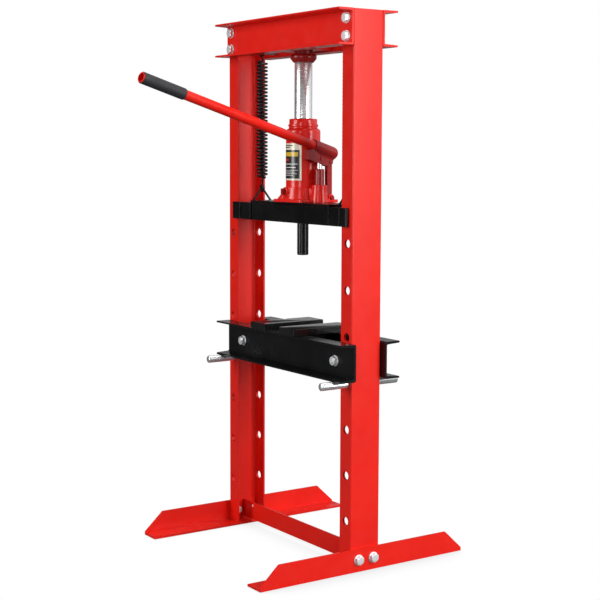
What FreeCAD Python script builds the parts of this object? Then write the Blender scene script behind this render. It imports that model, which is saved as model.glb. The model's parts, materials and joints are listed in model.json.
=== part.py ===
# Hydraulic shop press, twelve-ton size: a bolted H frame, a pinned bed, a spring-hung carriage
# with a bottle jack that pushes against the crown, and a pump handle that points to the front.
# Frame: +X to the operator's right, -Y to the front, +Z up. Origin on the floor, in the middle
# between the two columns. Lengths are in millimetres and angles in degrees.
import FreeCAD, Part
import math
import os
import re

import Sketcher

Vector = FreeCAD.Vector
Rotation = FreeCAD.Rotation
X_AXIS, Y_AXIS, Z_AXIS = Vector(1, 0, 0), Vector(0, 1, 0), Vector(0, 0, 1)

DIMS = {
    # frame
    "frame_width": 526, "frame_height": 1260, "channel_wall": 5,
    "flange_root": 6.6, "flange_tip": 4.4, "root_radius": 3.2, "toe_radius": 2, "heel_radius": 3,
    "column_depth": 80, "column_flange": 42,
    "hole_radius": 10, "hole_first": 115, "hole_pitch": 105, "hole_count": 7, "hole_inset": 20,
    "foot_length": 568, "foot_leg": 53, "foot_wall": 5, "foot_chamfer": 49, "foot_toe": 8,
    "foot_bolt_half": 20.6, "foot_bolt_height": 28,
    "brace_height": 44, "brace_bottom": 9, "brace_wall": 4, "brace_front": 2.6, "brace_hole": 5,
    "crown_height": 80, "crown_flange": 41, "crown_root": 6, "crown_inner_radius": 1.6, "crown_proud": 0.5,
    "crown_bolt_half": 19.8,
    "bolster_length": 120, "bolster_thick": 12, "bolster_gap": 3.5, "hanger_radius": 4, "hanger_drop": 9.5,
    # fasteners
    "bolt_radius": 6, "bolt_clear": 0.5, "hex_radius": 10.97, "hex_height": 6.8, "nut_height": 8,
    "washer_radius": 12.6, "washer_thick": 2.2, "bolt_tail": 2,
    # bed, its pins and the arbor plates
    "bed_length": 538, "bed_shift": 11.5, "bed_height": 85, "bed_flange": 41, "bed_heel": 4.5,
    "slide_gap": 0.6,
    "bed_bolt_half": 197, "bed_bolt_drop": 2, "spacer_radius": 10.7, "rest_gap": 0.2,
    "pin_radius": 9, "pin_length": 212, "left_pin_shift": -9, "right_pin_shift": -5, "pin_chamfer": 1.5,
    "plate_width": 63, "plate_length": 171, "plate_thick": 16, "plate_edge": 1,
    "left_plate_mid": -58, "right_plate_mid": 66, "notch_radius": 16, "notch_depth": 5,
    "left_notch": 8, "right_notch": 60,
    # carriage
    "press_axis": 8.5, "bar_length": 480, "bar_height": 42, "bar_thick": 5, "bar_bottom": 782.5,
    "guide_inner": 168, "guide_wide": 42, "guide_wall": 3,
    "pad_thick": 4, "left_pad": 34.5, "left_strip_start": -190.5, "left_strip_end": -149,
    "cover_start": -135, "cover_end": 182.5, "right_strip_start": 184.5, "right_strip_end": 224.5,
    "right_pad": 22,
    "jack_plate_length": 330, "jack_plate_thick": 5.5, "jack_plate_width": 88, "ram_plate_thick": 10,
    "press_ram_radius": 13.5, "press_ram_nose": 704, "press_ram_chamfer": 1.5,
    # springs
    "spring_half": 181, "coil_radius": 11.9, "spring_wire": 2.6, "coil_bottom": 883, "coil_top": 1171,
    "coil_turns": 33, "loop_radius": 7.5, "bail_wire": 2.5, "bail_half": 28, "bail_rise": 36,
    # jack
    "jack_turn": 8, "base_half": 52, "base_thick": 7, "base_corner": 9, "base_rim": 35, "base_deck": 28,
    "base_skirt": 49, "base_collar": 44.5, "rib_thick": 8,
    "reservoir_radius": 40.7, "reservoir_wall": 3.5, "reservoir_top": 173, "shoulder_drop": 11,
    "shoulder_radius": 8, "plug_height": 128, "plug_radius": 4,
    "cylinder_bore": 25, "cylinder_wall": 5, "ram_radius": 21, "ram_clear": 0.08,
    "ram_bottom": 986, "ram_top": 1167, "piston_radius": 24.6, "piston_thick": 8,
    "gland_neck": 34, "gland_neck_height": 5, "gland_collar": 35.5, "gland_step": 9.5, "gland_radius": 33,
    "gland_height": 22.5, "ball_radius": 3.5, "second_ball_out": 18, "second_ball_side": -8,
    "seat_bottom": 1157, "seat_rim": 24, "seat_disc": 31, "seat_neck": 22,
    "pump_reach": 57.5, "pump_radius": 11, "pump_boss": 18, "pump_seat": 41, "pump_top": 78.4,
    "plunger_radius": 5.5, "plunger_clear": 0.07,
    "label_bottom": 51.5, "label_height": 86.5, "label_sweep": 135, "label_thick": 0.3,
    "valve_height": 25, "valve_side": -8, "valve_radius": 5, "valve_start": 41.2, "valve_tip": 62,
    "valve_boss": 10,
    # pump linkage and handle
    "ear_side": 28.5, "ear_height": 11, "link_thick": 10, "link_width": 15, "link_eye": 8.5, "link_pin": 4,
    "pin_play": 0.1, "eye_radius": 8.4, "eye_hole": 5.6, "eye_thick": 10, "eye_back": -0.4,
    "handle_rise": 127.3, "handle_tilt": 15.8, "handle_radius": 11, "handle_wall": 2,
    "handle_start": 38, "handle_end": 527, "grip_start": 412, "grip_wall": 1.8,
    "socket_wall": 3, "socket_play": 0.3, "socket_mouth": 22, "socket_tail": 48,
    "cheek_drop": 36.5, "cheek_outer": 9, "cheek_inner": 6,
    "pin_drop": 24.15, "plunger_pin_back": 5.5, "link_pin_back": 36,
}

doc = FreeCAD.newDocument("ShopPress")
sheet = doc.addObject("Spreadsheet::Sheet", "Dims")
for row, (alias, number) in enumerate(DIMS.items(), 1):
    sheet.set(f"A{row}", alias.replace("_", " "))
    sheet.set(f"B{row}", str(number))
    sheet.setAlias(f"B{row}", alias)
doc.recompute()

NODES = {}

# Heights and places that follow from the driving dimensions.
HALF_WIDTH = "frame_width / 2"
WEB_INSIDE = "(frame_width / 2 - channel_wall)"
HOLE_X = "(frame_width / 2 - hole_inset)"
CROWN_MID = "(frame_height + crown_proud - crown_height / 2)"
CROWN_BOTTOM = "(frame_height + crown_proud - crown_height)"
PIN_Z = "(hole_first + 3 * hole_pitch - hole_radius + pin_radius + rest_gap)"
BED_MID = f"({PIN_Z} + pin_radius + rest_gap + bed_height / 2)"
BED_TOP = f"({PIN_Z} + pin_radius + rest_gap + bed_height)"
BED_BOLT_Z = f"({BED_MID} - bed_bolt_drop)"
BED_BACK = "(column_depth / 2 + slide_gap)"
BAR_TOP = "(bar_bottom + bar_height)"
JACK_SEAT = "(bar_bottom + bar_height + jack_plate_thick)"
HANGER_Z = f"({CROWN_BOTTOM} + hanger_drop)"
BOLSTER_Z = f"({CROWN_BOTTOM} + bolster_gap)"
PUMP_PIN_UP = "(handle_rise - plunger_pin_back * sin(handle_tilt) - pin_drop * cos(handle_tilt))"
LINK_PIN_UP = "(handle_rise - link_pin_back * sin(handle_tilt) - pin_drop * cos(handle_tilt))"
LINK_PIN_SIDE = "(link_pin_back * cos(handle_tilt) - pin_drop * sin(handle_tilt))"


def ex(text):
    """Write sheet names in an expression the way the document's expressions need them."""

    def qualified(match):
        word = match.group()
        return "Dims." + word if word in DIMS else word

    return re.sub(r"[a-z][a-z0-9_]*", qualified, str(text))


def val(text):
    """The present value of an expression."""
    return float(sheet.evalExpression(ex(text)))


def bind(obj, **links):
    """Bind an object's properties to expressions."""
    for name, text in links.items():
        obj.setExpression(name, ex(text))
    return obj


def put(obj, x="0", y="0", z="0", rotation=None):
    """Place an object at a bound position, with an optional fixed rotation."""
    if rotation is not None:
        obj.Placement = FreeCAD.Placement(Vector(), rotation)
    for axis, text in zip("xyz", (x, y, z)):
        obj.setExpression("Placement.Base." + axis, ex(text))
    return obj


def node(label, obj):
    """Register a finished sub-part."""
    obj.Label = label
    NODES[label] = obj
    return obj


# ---- sketches and PartDesign features -------------------------------------------------------


def new_body(label):
    return node(label, doc.addObject("PartDesign::Body", label))


def sketch_on(body, role):
    """A sketch on one of the body's own origin planes."""
    plane = next(f for f in body.Origin.OriginFeatures if f.Role == role)
    sketch = body.newObject("Sketcher::SketchObject", "Sketch")
    sketch.AttachmentSupport = [(plane, "")]
    sketch.MapMode = "FlatFace"
    return sketch


def pin_point(sketch, geometry, point, x, y):
    """Dimension a sketch point from the sketch's origin with bound distances."""
    for kind, text in (("DistanceX", x), ("DistanceY", y)):
        number = sketch.addConstraint(Sketcher.Constraint(kind, -1, 1, geometry, point, val(text)))
        sketch.setExpression(f"Constraints[{number}]", ex(text))


def polygon(body, role, points):
    """A closed outline through bound corner points."""
    sketch = sketch_on(body, role)
    corners = [Vector(val(x), val(y), 0) for x, y in points]
    first = sketch.GeometryCount
    for i, corner in enumerate(corners):
        sketch.addGeometry(Part.LineSegment(corner, corners[(i + 1) % len(corners)]), False)
    for i, (x, y) in enumerate(points):
        following = first + (i + 1) % len(points)
        sketch.addConstraint(Sketcher.Constraint("Coincident", first + i, 2, following, 1))
        pin_point(sketch, first + i, 1, x, y)
    return sketch


def circles(body, role, rounds):
    """A sketch of bound circles, each given as centre x, centre y and radius."""
    sketch = sketch_on(body, role)
    for x, y, radius in rounds:
        i = sketch.addGeometry(Part.Circle(Vector(val(x), val(y), 0), Z_AXIS, val(radius)), False)
        pin_point(sketch, i, 3, x, y)
        number = sketch.addConstraint(Sketcher.Constraint("Radius", i, val(radius)))
        sketch.setExpression(f"Constraints[{number}]", ex(radius))
    return sketch


def pad(body, sketch, length, middle=True, reverse=False):
    feature = body.newObject("PartDesign::Pad", "Pad")
    feature.Profile = sketch
    feature.Midplane = middle
    feature.Reversed = reverse
    return bind(feature, Length=length)


def pocket(body, sketch, length=None):
    """Cut a sketch through everything both ways, or by a length centred on its plane."""
    feature = body.newObject("PartDesign::Pocket", "Pocket")
    feature.Profile = sketch
    feature.Midplane = True
    if length is None:
        feature.Type = "ThroughAll"
    else:
        bind(feature, Length=length)
    return feature


def turned(label, points, angle="360"):
    """A body turned about its Z axis from a half outline of radius and height points."""
    body = new_body(label)
    profile = polygon(body, "XZ_Plane", points)
    feature = body.newObject("PartDesign::Revolution", "Revolution")
    feature.Profile = profile
    feature.ReferenceAxis = (profile, ["V_Axis"])
    bind(feature, Angle=angle)
    return body


def fillet_edges(body, feature, radius, wanted):
    """Round those edges of a feature whose middle point passes the test."""
    doc.recompute()
    names = [f"Edge{i + 1}" for i, edge in enumerate(feature.Shape.Edges) if wanted(edge)]
    rounding = body.newObject("PartDesign::Fillet", "Fillet")
    rounding.Base = (feature, names)
    return bind(rounding, Radius=radius)


# ---- Part primitives ------------------------------------------------------------------------


def block(length, width, height, x, y, z):
    """A box given by its size, the middle of its footprint and its bottom."""
    box = bind(doc.addObject("Part::Box", "Block"), Length=length, Width=width, Height=height)
    return put(box, f"{x} - ({length}) / 2", f"{y} - ({width}) / 2", z)


def rod(radius, length, x, y, z, rotation=None):
    """A cylinder that starts at a point and runs along Z, or along the rotated Z."""
    return put(bind(doc.addObject("Part::Cylinder", "Rod"), Radius=radius, Height=length), x, y, z, rotation)


def cone(low, high, height, x, y, z):
    return put(bind(doc.addObject("Part::Cone", "Cone"), Radius1=low, Radius2=high, Height=height), x, y, z)


def fuse(*shapes):
    joined = doc.addObject("Part::MultiFuse", "Joined")
    joined.Shapes = list(shapes)
    return joined


def cut(base, *tools):
    result = doc.addObject("Part::Cut", "Cut")
    result.Base = base
    result.Tool = tools[0] if len(tools) == 1 else fuse(*tools)
    return result


def group(label, shapes):
    """Identical loose pieces kept as separate solids of one sub-part."""
    together = doc.addObject("Part::Compound", label)
    together.Links = list(shapes)
    return node(label, together)


TO_FRONT = Rotation(X_AXIS, 90)   # local Z points to -Y
TO_REAR = Rotation(X_AXIS, -90)   # local Z points to +Y
TO_RIGHT = Rotation(Y_AXIS, 90)   # local Z points to +X
TO_LEFT = Rotation(Y_AXIS, -90)   # local Z points to -X


# ---- frame ----------------------------------------------------------------------------------


def channel(label, role, side, depth, flange, length, from_middle,
            root="flange_root", inner_radius="root_radius", heel="heel_radius"):
    """A hot-rolled channel: its web's back lies on the sketch's vertical axis, its flanges point to side."""
    body = new_body(label)
    half = f"({depth}) / 2"
    outline = [("0", f"-{half}"), (f"{side} * {flange}", f"-{half}"),
               (f"{side} * {flange}", f"-{half} + flange_tip"),
               (f"{side} * channel_wall", f"-{half} + {root}"),
               (f"{side} * channel_wall", f"{half} - {root}"), (f"{side} * {flange}", f"{half} - flange_tip"),
               (f"{side} * {flange}", half), ("0", half)]
    solid = pad(body, polygon(body, role, outline), length, middle=from_middle)

    def across(edge):
        middle = edge.CenterOfMass
        return (middle.x, middle.y) if role == "XY_Plane" else (middle.y, middle.z)

    def near(edge, reach, inset):
        a, b = across(edge)
        straight = edge.Length > val(length) - 1
        return straight and abs(a - side * reach) < 0.01 and abs(abs(b) - (val(depth) / 2 - inset)) < 0.01

    roots = fillet_edges(body, solid, inner_radius, lambda e: near(e, val("channel_wall"), val(root)))
    toes = fillet_edges(body, roots, "toe_radius", lambda e: near(e, val(flange), val("flange_tip")))
    fillet_edges(body, toes, heel, lambda e: near(e, 0, 0))
    return body


def column(label, side):
    """An upright: web outwards, flanges inwards, with the pin holes, crown bolt holes and foot bolt holes."""
    height = "frame_height - foot_wall"
    body = channel(label, "XY_Plane", -side, "column_depth", "column_flange", height, False)
    inset = f"{-side} * hole_inset"
    low_hole = circles(body, "XZ_Plane", [(inset, "hole_first - foot_wall", "hole_radius")])
    pocket_holes = pocket(body, low_hole)
    doc.recompute()
    row = body.newObject("PartDesign::LinearPattern", "HoleRow")
    row.Originals = [pocket_holes]
    row.Direction = (low_hole, ["V_Axis"])
    bind(row, Length="hole_pitch * (hole_count - 1)", Occurrences="hole_count")
    body.Tip = row
    doc.recompute()
    bolt_hole = "bolt_radius + bolt_clear"
    crown_holes = [(inset, f"{CROWN_MID} {sign} crown_bolt_half - foot_wall", bolt_hole) for sign in "+-"]
    pocket(body, circles(body, "XZ_Plane", crown_holes))
    foot_holes = [(f"{sign}foot_bolt_half", "foot_bolt_height - foot_wall", bolt_hole) for sign in ("-", "")]
    pocket(body, circles(body, "YZ_Plane", foot_holes))
    put(body, f"{side} * {HALF_WIDTH}", "0", "foot_wall")


def foot(label, side):
    """A floor angle: its upright leg outside the column's web, its flat leg under the column."""
    body = new_body(label)
    outline = [("0", "0"), (f"{-side} * foot_leg", "0"), (f"{-side} * foot_leg", "foot_wall"),
               (f"{-side} * foot_wall", "foot_wall"), (f"{-side} * foot_wall", "foot_leg"), ("0", "foot_leg")]
    pad(body, polygon(body, "XZ_Plane", outline), "foot_length")
    for end in (-1, 1):
        tip = f"{end} * foot_length / 2"
        corner = [(f"{end} * (foot_length / 2 - foot_chamfer)", "foot_leg"), (tip, "foot_toe"),
                  (f"{end} * (foot_length / 2 + 1)", "foot_toe"),
                  (f"{end} * (foot_length / 2 + 1)", "foot_leg + 1"),
                  (f"{end} * (foot_length / 2 - foot_chamfer)", "foot_leg + 1")]
        pocket(body, polygon(body, "YZ_Plane", corner))
    bolt_hole = "bolt_radius + bolt_clear"
    holes = [(f"{sign}foot_bolt_half", "foot_bolt_height", bolt_hole) for sign in ("-", "")]
    pocket(body, circles(body, "YZ_Plane", holes))
    put(body, f"{side} * ({HALF_WIDTH} + foot_wall)")


def brace():
    """The cross plate between the columns, with both ends bent to the rear against the webs."""
    body = new_body("cross_brace")
    front, inner = "-brace_front", "(brace_wall - brace_front)"
    deep = "(column_depth / 2 - flange_root - root_radius - 0.2)"
    outer = WEB_INSIDE
    inside = f"({WEB_INSIDE} - brace_wall)"
    outline = [(f"-{outer}", front), (outer, front), (outer, deep), (inside, deep), (inside, inner),
               (f"-{inside}", inner), (f"-{inside}", deep), (f"-{outer}", deep)]
    solid = pad(body, polygon(body, "XY_Plane", outline), "brace_height", middle=False)
    fillet_edges(body, solid, "brace_wall", lambda e: abs(e.Length - val("brace_height")) < 0.01
                 and abs(e.CenterOfMass.y + val("brace_front")) < 0.01)
    bolt_at = "foot_bolt_height - brace_bottom"
    pocket(body, circles(body, "YZ_Plane", [("foot_bolt_half", bolt_at, "bolt_radius + bolt_clear")]))
    hang = f"({WEB_INSIDE} - 44)"
    hang_holes = [(f"{sign}{hang}", "brace_height - 9", "brace_hole") for sign in ("-", "")]
    pocket(body, circles(body, "XZ_Plane", hang_holes))
    put(body, "0", "0", "brace_bottom")


def crown_channel(label, side):
    """A crown beam: back against the columns' flanges, flanges outwards, drilled for its four bolts."""
    body = channel(label, "YZ_Plane", side, "crown_height", "crown_flange", "frame_width", True,
                   root="crown_root", inner_radius="crown_inner_radius")
    holes = [(f"{x_sign} * {HOLE_X}", f"{z_sign} * crown_bolt_half", "bolt_radius + bolt_clear")
             for x_sign in (-1, 1) for z_sign in (-1, 1)]
    pocket(body, circles(body, "XZ_Plane", holes))
    put(body, "0", f"{side} * column_depth / 2", CROWN_MID)


def hex_bolt(x, y, z, outward, grip):
    """A hex-headed bolt: the head's underside is at the point, the shank runs back from it by grip."""
    head = put(bind(doc.addObject("Part::Prism", "Head"), Circumradius="hex_radius", Height="hex_height"))
    head.Polygon = 6
    shank = rod("bolt_radius", f"{grip} + hex_height", "0", "0", f"-({grip})")
    return put(fuse(head, shank), x, y, z, outward)


def washer(x, y, z, outward):
    disc = rod("washer_radius", "washer_thick", "0", "0", "0")
    bore = rod("bolt_radius + bolt_clear / 2", "washer_thick + 2", "0", "0", "-1")
    return put(cut(disc, bore), x, y, z, outward)


def hex_nut(x, y, z, outward):
    nut = put(bind(doc.addObject("Part::Prism", "Nut"), Circumradius="hex_radius", Height="nut_height"))
    nut.Polygon = 6
    bore = rod("bolt_radius", "nut_height + 2", "0", "0", "-1")
    return put(cut(nut, bore), x, y, z, outward)


def fastener_groups(name, places, grip, nut_back):
    """Bolts with a washer under each head and a nut at the far side, as three groups of loose pieces."""
    bolts, washers, nuts = [], [], []
    for x, y, z, outward, step in places:
        towards = outward.multVec(Z_AXIS)
        axis = max(range(3), key=lambda i: abs(towards[i]))
        sign = round(towards[axis])

        def shifted(distance):
            point = [x, y, z]
            point[axis] = f"{point[axis]} + {sign} * ({distance})"
            return point

        washers.append(washer(*shifted("0"), outward))
        bolts.append(hex_bolt(*shifted("washer_thick"), outward, f"{grip} + washer_thick"))
        nuts.append(hex_nut(*shifted(f"-({nut_back}) - nut_height + ({step})"), outward))
    group(name + "_bolts", bolts)
    group(name + "_washers", washers)
    group(name + "_nuts", nuts)


def frame_parts():
    for label, side in (("left_column", -1), ("right_column", 1)):
        column(label, side)
    for label, side in (("left_foot", -1), ("right_foot", 1)):
        foot(label, side)
    brace()
    for label, side in (("crown_front_channel", -1), ("crown_rear_channel", 1)):
        crown_channel(label, side)
    # crown bolts pass the crown's web and the column's tapered flange; each nut lands on the flange's inside
    flange_there = "(flange_root - (flange_root - flange_tip) * (hole_inset - channel_wall)"
    flange_there += " / (column_flange - channel_wall))"
    crown_places = [(f"{sx} * {HOLE_X}", f"{sy} * (column_depth / 2 + channel_wall)",
                     f"{CROWN_MID} + {sz} * crown_bolt_half", TO_REAR if sy > 0 else TO_FRONT, "0")
                    for sx in (-1, 1) for sy in (-1, 1) for sz in (-1, 1)]
    crown_grip = f"channel_wall + {flange_there} + 1"
    fastener_groups("crown", crown_places, f"{crown_grip} + nut_height + bolt_tail", crown_grip)
    # foot bolts pass the foot and the column's web; the rear pair also holds the brace's bent ends
    foot_places = [(f"{sx} * ({HALF_WIDTH} + foot_wall)", f"{sy} * foot_bolt_half", "foot_bolt_height",
                    TO_RIGHT if sx > 0 else TO_LEFT, "0" if sy > 0 else "brace_wall")
                   for sx in (-1, 1) for sy in (-1, 1)]
    foot_grip = "foot_wall + channel_wall + brace_wall"
    fastener_groups("foot", foot_places, f"{foot_grip} + nut_height + bolt_tail", foot_grip)
    bolster = block("bolster_length", "column_depth", "bolster_thick", "press_axis", "0", BOLSTER_Z)
    node("crown_bolster", bolster)
    group("spring_hangers", [rod("hanger_radius", "column_depth", f"press_axis + {side} * spring_half",
                                 "column_depth / 2", HANGER_Z, TO_FRONT) for side in (-1, 1)])


# ---- bed, bed pins and arbor plates ---------------------------------------------------------


def bed_channel(label, side):
    body = channel(label, "YZ_Plane", side, "bed_height", "bed_flange", "bed_length", True, heel="bed_heel")
    bolt_hole = "bolt_radius + bolt_clear"
    holes = [(f"{sign}bed_bolt_half", "-bed_bolt_drop", bolt_hole) for sign in ("-", "")]
    pocket(body, circles(body, "XZ_Plane", holes))
    put(body, "bed_shift", f"{side} * {BED_BACK}", BED_MID)


def bed_parts():
    for label, side in (("bed_front_channel", -1), ("bed_rear_channel", 1)):
        bed_channel(label, side)
    bolt_x = [f"bed_shift + {side} * bed_bolt_half" for side in (-1, 1)]
    spacers = []
    for x in bolt_x:
        tube = rod("spacer_radius", f"2 * {BED_BACK}", x, BED_BACK, BED_BOLT_Z, TO_FRONT)
        bore = rod("bolt_radius + bolt_clear", f"2 * {BED_BACK} + 2", x, f"{BED_BACK} + 1", BED_BOLT_Z,
                   TO_FRONT)
        spacers.append(cut(tube, bore))
    group("bed_spacers", spacers)
    face = f"({BED_BACK} + channel_wall)"
    bolts, washers, nuts = [], [], []
    for x in bolt_x:
        washers += [washer(x, f"-{face}", BED_BOLT_Z, TO_FRONT), washer(x, face, BED_BOLT_Z, TO_REAR)]
        reach = f"2 * {face} + 2 * washer_thick + nut_height + bolt_tail"
        bolts.append(hex_bolt(x, f"{face} + washer_thick", BED_BOLT_Z, TO_REAR, reach))
        nuts.append(hex_nut(x, f"-{face} - washer_thick", BED_BOLT_Z, TO_FRONT))
    group("bed_bolts", bolts)
    group("bed_washers", washers)
    group("bed_nuts", nuts)


def bed_pin(label, side, shift):
    """A bed pin lies along Y on the bottom of its holes, with both ends chamfered."""
    half = "pin_length / 2"
    body = turned(label, [("0", f"-{half}"), ("pin_radius - pin_chamfer", f"-{half}"),
                          ("pin_radius", f"-{half} + pin_chamfer"), ("pin_radius", f"{half} - pin_chamfer"),
                          ("pin_radius - pin_chamfer", half), ("0", half)])
    put(body, f"{side} * {HOLE_X}", shift, PIN_Z, TO_FRONT)


def arbor_plate(label, middle, outer_side, notch_at):
    """A thick loose plate across the bed, with a shallow round notch in its outer long edge."""
    body = new_body(label)
    half_x, half_y = "plate_width / 2", "plate_length / 2"
    outline = [(f"-{half_x}", f"-{half_y}"), (half_x, f"-{half_y}"), (half_x, half_y), (f"-{half_x}", half_y)]
    pad(body, polygon(body, "XY_Plane", outline), "plate_thick", middle=False)
    notch_x = f"{outer_side} * (plate_width / 2 - notch_depth + notch_radius)"
    notched = pocket(body, circles(body, "XY_Plane", [(notch_x, notch_at, "notch_radius")]))
    bind(notched, Length="3 * plate_thick")
    notched.Type = "Length"
    doc.recompute()
    chamfer = body.newObject("PartDesign::Chamfer", "Chamfer")
    top = [f"Edge{i + 1}" for i, e in enumerate(notched.Shape.Edges)
           if abs(e.BoundBox.ZMin - val("plate_thick")) < 0.01]
    chamfer.Base = (notched, top)
    bind(chamfer, Size="plate_edge")
    put(body, middle, "0", f"{BED_TOP} + rest_gap")


# ---- carriage -------------------------------------------------------------------------------


def carriage_parts():
    bar_face = f"({BED_BACK} + bar_thick)"
    for label, side in (("carriage_front_bar", -1), ("carriage_rear_bar", 1)):
        bar = block("bar_length", "bar_thick", "bar_height", "press_axis",
                    f"{side} * ({BED_BACK} + bar_thick / 2)", "bar_bottom")
        node(label, bar)
    guide_mid = "(guide_inner + guide_wide / 2)"
    tubes = []
    for side in (-1, 1):
        outer = block("guide_wide", f"2 * {BED_BACK}", "bar_height", f"press_axis + {side} * {guide_mid}",
                      "0", "bar_bottom")
        hollow = block("guide_wide - 2 * guide_wall", f"2 * {BED_BACK} + 2", "bar_height - 2 * guide_wall",
                       f"press_axis + {side} * {guide_mid}", "0", "bar_bottom + guide_wall")
        tubes.append(cut(outer, hollow))
    group("guide_tubes", tubes)
    left_end, right_end = "(press_axis - bar_length / 2)", "(press_axis + bar_length / 2)"
    spans = [(left_end, f"({left_end} + left_pad)"), ("left_strip_start", "left_strip_end"),
             ("cover_start", "cover_end"), ("right_strip_start", "right_strip_end"),
             (f"({right_end} - right_pad)", right_end)]
    strips = []
    for face in (-1, 1):
        y = f"{face} * ({bar_face} + pad_thick / 2)"
        for start, end in spans:
            middle = f"({start} + {end}) / 2"
            strips.append(block(f"{end} - {start}", "pad_thick", "bar_height", middle, y, "bar_bottom"))
    group("carriage_face_strips", strips)
    jack_plate = block("jack_plate_length", "jack_plate_width", "jack_plate_thick", "press_axis", "0",
                       BAR_TOP)
    node("jack_plate", jack_plate)
    ram_plate = block("2 * guide_inner", f"2 * {BED_BACK}", "ram_plate_thick", "press_axis", "0",
                      "bar_bottom")
    passage = rod("press_ram_radius", "ram_plate_thick + 2", "press_axis", "0", "bar_bottom - 1")
    node("ram_plate", cut(ram_plate, passage))
    nose = "press_ram_radius - press_ram_chamfer"
    body = turned("press_ram", [("0", "press_ram_nose"), (nose, "press_ram_nose"),
                                ("press_ram_radius", "press_ram_nose + press_ram_chamfer"),
                                ("press_ram_radius", BAR_TOP), ("0", BAR_TOP)])
    put(body, "press_axis")
    group("spring_bails", [spring_bail(side) for side in (-1, 1)])


def spring_bail(side):
    """An inverted V of wire standing on a guide tube, with its peak through the spring's lower loop."""
    rise, half = val("bail_rise"), val("bail_half")
    lean = math.degrees(math.atan2(half, rise))
    x = f"press_axis + {side} * spring_half"
    legs = [rod("bail_wire", "sqrt(bail_half^2 + bail_rise^2)", x, "0", f"{BAR_TOP} + bail_rise",
                Rotation(X_AXIS, 180 - turn)) for turn in (lean, -lean)]
    peak = bind(doc.addObject("Part::Sphere", "Peak"), Radius="bail_wire")
    put(peak, x, "0", f"{BAR_TOP} + bail_rise")
    floor = block("20", "100", "20", x, "0", f"{BAR_TOP} - 20")
    return cut(fuse(peak, *legs), floor)


def spring(label, side):
    """A stretched extension spring with a loop at each end, joined to the coil by straight wire."""
    radius, wire = val("coil_radius"), val("spring_wire")
    low, high, turns = val("coil_bottom"), val("coil_top"), val("coil_turns")
    helix = Part.makeHelix((high - low) / turns, high - low, radius)
    section = Part.Wire([Part.makeCircle(wire, Vector(radius, 0, 0), Y_AXIS)])
    coil = Part.Wire(helix.Edges).makePipeShell([section], True, True)
    coil.translate(Vector(0, 0, low))
    loop = val("loop_radius")
    upper_loop = val(HANGER_Z) - (loop - wire - val("hanger_radius")) + 0.3
    lower_loop = val(f"{BAR_TOP} + bail_rise") - 2
    pieces = [coil]
    for coil_end, loop_at, direction in ((high, upper_loop, 1), (low, lower_loop, -1)):
        stem = abs(loop_at - coil_end) - loop
        foot_z = coil_end if direction > 0 else coil_end - stem
        pieces.append(Part.makeCylinder(wire, stem, Vector(0, 0, foot_z)))
        pieces.append(Part.makeCylinder(wire, radius, Vector(0, 0, coil_end), X_AXIS))
        pieces.append(Part.makeSphere(wire, Vector(0, 0, coil_end)))
        pieces.append(Part.makeTorus(loop, wire, Vector(0, 0, loop_at), Y_AXIS))
    feature = doc.addObject("Part::Feature", label)
    feature.Shape = pieces[0].multiFuse(pieces[1:])
    node(label, feature)
    put(feature, f"press_axis + {side} * spring_half")


# ---- jack: every piece is made about the jack's own axis, then set down and turned ----------


JACK_SPIN = Rotation(Z_AXIS, val("jack_turn"))


def jack_node(obj):
    return put(obj, "press_axis", "0", JACK_SEAT, JACK_SPIN)


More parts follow.
